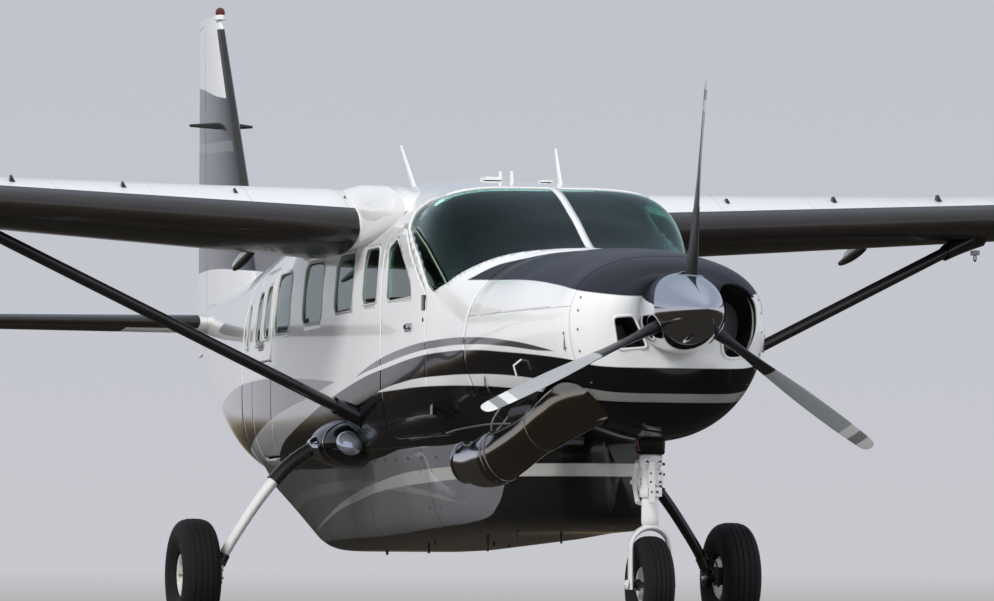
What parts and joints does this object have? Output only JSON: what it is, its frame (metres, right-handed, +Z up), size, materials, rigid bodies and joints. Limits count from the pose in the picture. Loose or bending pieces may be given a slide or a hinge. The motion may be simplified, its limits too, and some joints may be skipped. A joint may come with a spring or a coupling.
{
  "type": "single-engine turboprop plane",
  "caption": "High-wing propeller aircraft on fixed tricycle gear, with a cargo pod, opening doors and moving control surfaces.",
  "frame": {"origin": "on the ground, on the centreline, halfway along the length", "axes": "+Z up, nose towards -Y, +X to the pilot's left"},
  "size_m": [15.87, 12.69, 4.55],
  "materials": {
    "white_paint": "gloss",
    "grey_paint": "gloss",
    "black_paint": "gloss",
    "polished_metal": "polished",
    "exhaust_steel": "satin",
    "engine_casting": "matte",
    "blade_paint": "satin",
    "tyre_rubber": "matte",
    "rim_paint": "gloss",
    "tinted_glass": "polished",
    "panel_trim": "matte",
    "seat_leather": "satin"
  },
  "bodies": {
    "airframe": {"cabin_floor": "white_paint", "cabin_shell": "white_paint", "windshield_left": "tinted_glass", "windshield_right": "tinted_glass", "cabin_windows_left": "tinted_glass", "cabin_windows_right": "tinted_glass", "rear_window_left": "tinted_glass", "rear_window_right": "tinted_glass", "tail_cone": "white_paint", "tailplane": "white_paint", "fin": "white_paint", "wing_left": "white_paint", "wing_right": "white_paint", "strut_left": "grey_paint", "strut_right": "grey_paint", "nose_bowl": "white_paint", "exhaust_duct": "exhaust_steel", "cowl_upper": "black_paint", "cowl_lower": "white_paint", "engine_block": "engine_casting", "cargo_pod": "grey_paint", "main_leg_left": "white_paint", "main_leg_right": "white_paint", "nose_leg": "black_paint", "instrument_panel": "panel_trim", "crew_seat_left": "seat_leather", "crew_seat_right": "seat_leather", "cabin_seats": "seat_leather"},
    "propeller": {"spinner": "polished_metal", "prop_blades": "blade_paint"},
    "nose_steering": {"nose_fork": "white_paint"},
    "nose_wheel": {"nose_tyre": "tyre_rubber", "nose_rim": "rim_paint"},
    "main_wheel_left": {"main_tyre_left": "tyre_rubber", "main_rim_left": "rim_paint"},
    "main_wheel_right": {"main_tyre_right": "tyre_rubber", "main_rim_right": "rim_paint"},
    "crew_door_left": {"crew_door_left": "white_paint", "crew_window_left": "tinted_glass"},
    "crew_door_right": {"crew_door_right": "white_paint", "crew_window_right": "tinted_glass"},
    "airstair_upper": {"airstair_upper": "white_paint", "airstair_windows": "tinted_glass"},
    "airstair_lower": {"airstair_lower": "white_paint"},
    "cargo_door_upper": {"cargo_door_upper": "white_paint", "cargo_windows": "tinted_glass"},
    "cargo_door_lower": {"cargo_door_lower": "white_paint"},
    "aileron_left": {"aileron_left": "white_paint"},
    "aileron_right": {"aileron_right": "white_paint"},
    "flap_left": {"flap_left": "white_paint"},
    "flap_right": {"flap_right": "white_paint"},
    "elevators": {"elevator_left": "white_paint", "elevator_right": "white_paint"},
    "rudder": {"rudder": "white_paint"}
  },
  "joints": [
    {"name": "propeller_spin", "type": "hinge", "parent": "airframe", "child": "propeller", "pos_m": [0, -5.967, 1.84], "axis": [0, 1, 0], "continuous": true},
    {"name": "nose_steer", "type": "hinge", "parent": "airframe", "child": "nose_steering", "pos_m": [0, -5.235, 0.9], "axis": [0, 0, 1], "range_deg": [-51.5, 51.5]},
    {"name": "nose_roll", "type": "hinge", "parent": "nose_steering", "child": "nose_wheel", "pos_m": [0, -5.235, 0.284], "axis": [1, 0, 0], "continuous": true},
    {"name": "main_roll_left", "type": "hinge", "parent": "airframe", "child": "main_wheel_left", "pos_m": [1.78, -1.185, 0.357], "axis": [1, 0, 0], "continuous": true},
    {"name": "main_roll_right", "type": "hinge", "parent": "airframe", "child": "main_wheel_right", "pos_m": [-1.78, -1.185, 0.357], "axis": [1, 0, 0], "continuous": true},
    {"name": "crew_door_left_swing", "type": "hinge", "parent": "airframe", "child": "crew_door_left", "pos_m": [0.847, -3.339, 1.45], "axis": [0, 0, -1], "range_deg": [0, 75]},
    {"name": "crew_door_right_swing", "type": "hinge", "parent": "airframe", "child": "crew_door_right", "pos_m": [-0.847, -3.339, 1.45], "axis": [0, 0, 1], "range_deg": [0, 75]},
    {"name": "airstair_upper_lift", "type": "hinge", "parent": "airframe", "child": "airstair_upper", "pos_m": [-0.78, 0.585, 2.396], "axis": [0.1112, 0.9938, 0], "range_deg": [0, 90]},
    {"name": "airstair_lower_drop", "type": "hinge", "parent": "airframe", "child": "airstair_lower", "pos_m": [-0.7773, 0.585, 1.149], "axis": [-0.0975, -0.9952, 0], "range_deg": [0, 130]},
    {"name": "cargo_upper_lift", "type": "hinge", "parent": "airframe", "child": "cargo_door_upper", "pos_m": [0.8169, 0.08, 2.396], "axis": [0.0966, -0.9953, 0], "range_deg": [0, 90]},
    {"name": "cargo_lower_swing", "type": "hinge", "parent": "airframe", "child": "cargo_door_lower", "pos_m": [0.86, 0.076, 1.3], "axis": [0, 0, -1], "range_deg": [0, 100]},
    {"name": "aileron_left_turn", "type": "hinge", "parent": "airframe", "child": "aileron_left", "pos_m": [5.04, -0.6613, 2.7573], "axis": [-0.9968, 0.0535, -0.0593], "range_deg": [-25, 16]},
    {"name": "aileron_right_turn", "type": "hinge", "parent": "airframe", "child": "aileron_right", "pos_m": [-5.04, -0.6613, 2.7573], "axis": [-0.9968, -0.0535, 0.0593], "range_deg": [-25, 16]},
    {"name": "flap_left_turn", "type": "hinge", "parent": "airframe", "child": "flap_left", "pos_m": [0.985, -0.4438, 2.516], "axis": [-0.9968, 0.0535, -0.0593], "range_deg": [0, 30]},
    {"name": "flap_right_turn", "type": "hinge", "parent": "airframe", "child": "flap_right", "pos_m": [-0.985, -0.4438, 2.516], "axis": [-0.9968, -0.0535, 0.0593], "range_deg": [0, 30]},
    {"name": "elevator_turn", "type": "hinge", "parent": "airframe", "child": "elevators", "pos_m": [0, 5.515, 2.235], "axis": [1, 0, 0], "range_deg": [-20, 25]},
    {"name": "rudder_turn", "type": "hinge", "parent": "airframe", "child": "rudder", "pos_m": [0, 5.86, 2.075], "axis": [0, 0.0899, 0.9959], "range_deg": [-25, 25]}
  ],
  "couplings": [
    {"joint": "aileron_right_turn", "follows": "aileron_left_turn", "ratio": -0.64},
    {"joint": "flap_right_turn", "follows": "flap_left_turn", "ratio": 1}
  ]
}
